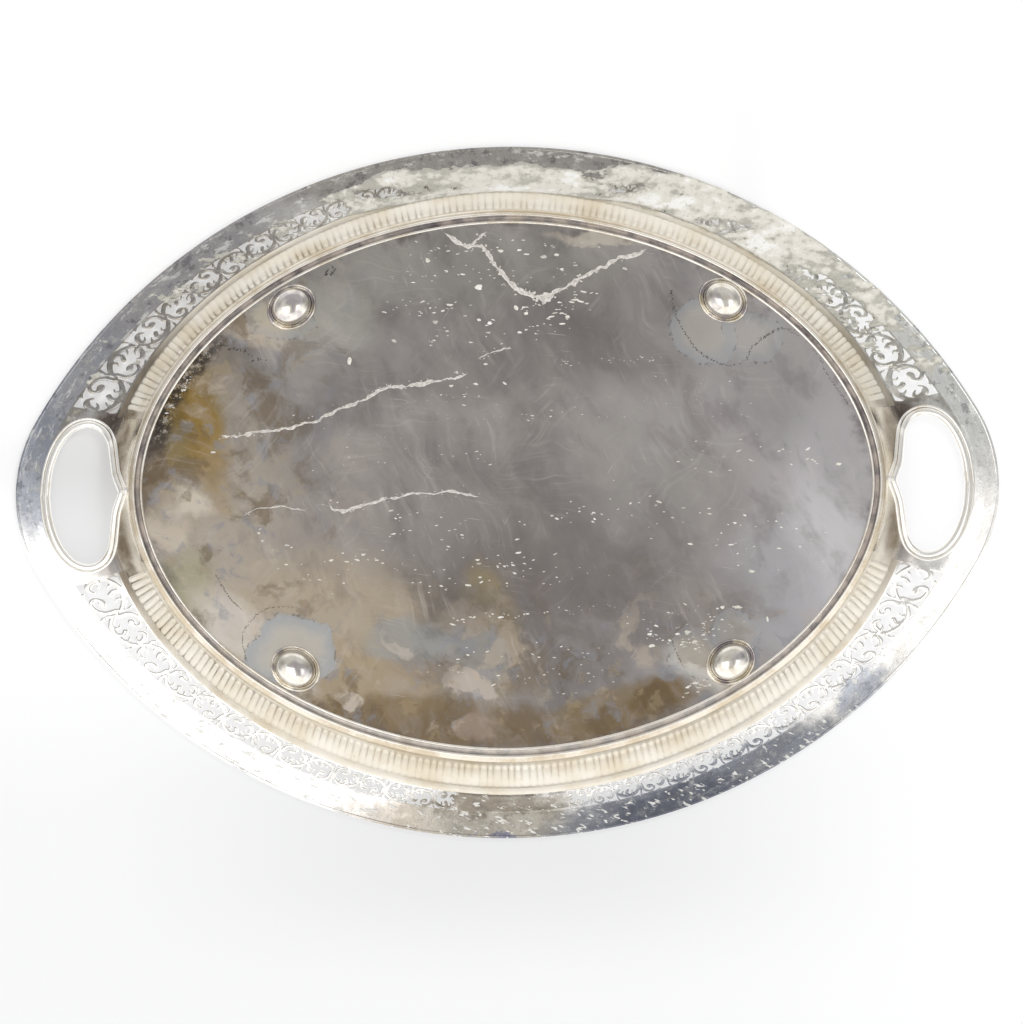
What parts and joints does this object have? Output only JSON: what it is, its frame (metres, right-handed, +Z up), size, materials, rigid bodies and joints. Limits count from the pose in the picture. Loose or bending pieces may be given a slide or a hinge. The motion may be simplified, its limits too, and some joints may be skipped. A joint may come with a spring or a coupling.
{
  "type": "two-handled gallery tray",
  "caption": "Oval two-handled tray with a flat floor, a reeded and pierced flaring wall, wire-edged hand holes and oval bun feet, in tarnished silver plate.",
  "frame": {"origin": "under the middle of the tray, on the plane its feet stand on", "axes": "+X along the tray towards the right handle, +Y across it towards the back, +Z up out of the tray"},
  "size_m": [0.6, 0.424, 0.0463],
  "materials": {
    "tarnished_plate": "heavily tarnished silver plate, grey with golden brown stains and fine scratches",
    "cream_plate": "pale reeded silver plate with a warm cream tarnish",
    "rim_plate": "mottled blue grey silver plate, partly caked with dried polish",
    "bright_moulding": "worn bright silver plate",
    "foot_plate": "bright silver plate, dull in the groove"
  },
  "bodies": {
    "root": {"base_plate": "tarnished_plate", "base_bead": "bright_moulding", "base_moulding": "bright_moulding", "reeded_wall_front": "cream_plate", "reeded_wall_back": "cream_plate", "pierced_gallery_front": "rim_plate", "pierced_gallery_back": "rim_plate", "handle_panel_left": "rim_plate", "handle_panel_right": "rim_plate", "rim_border": "rim_plate", "rim_edge_wire": "bright_moulding", "handle_wire_left": "bright_moulding", "handle_wire_right": "bright_moulding", "handle_tie_left": "bright_moulding", "handle_tie_right": "bright_moulding", "foot_collar_front_left": "foot_plate", "foot_dome_front_left": "foot_plate", "foot_collar_front_right": "foot_plate", "foot_dome_front_right": "foot_plate", "foot_collar_back_left": "foot_plate", "foot_dome_back_left": "foot_plate", "foot_collar_back_right": "foot_plate", "foot_dome_back_right": "foot_plate"}
  },
  "joints": []
}
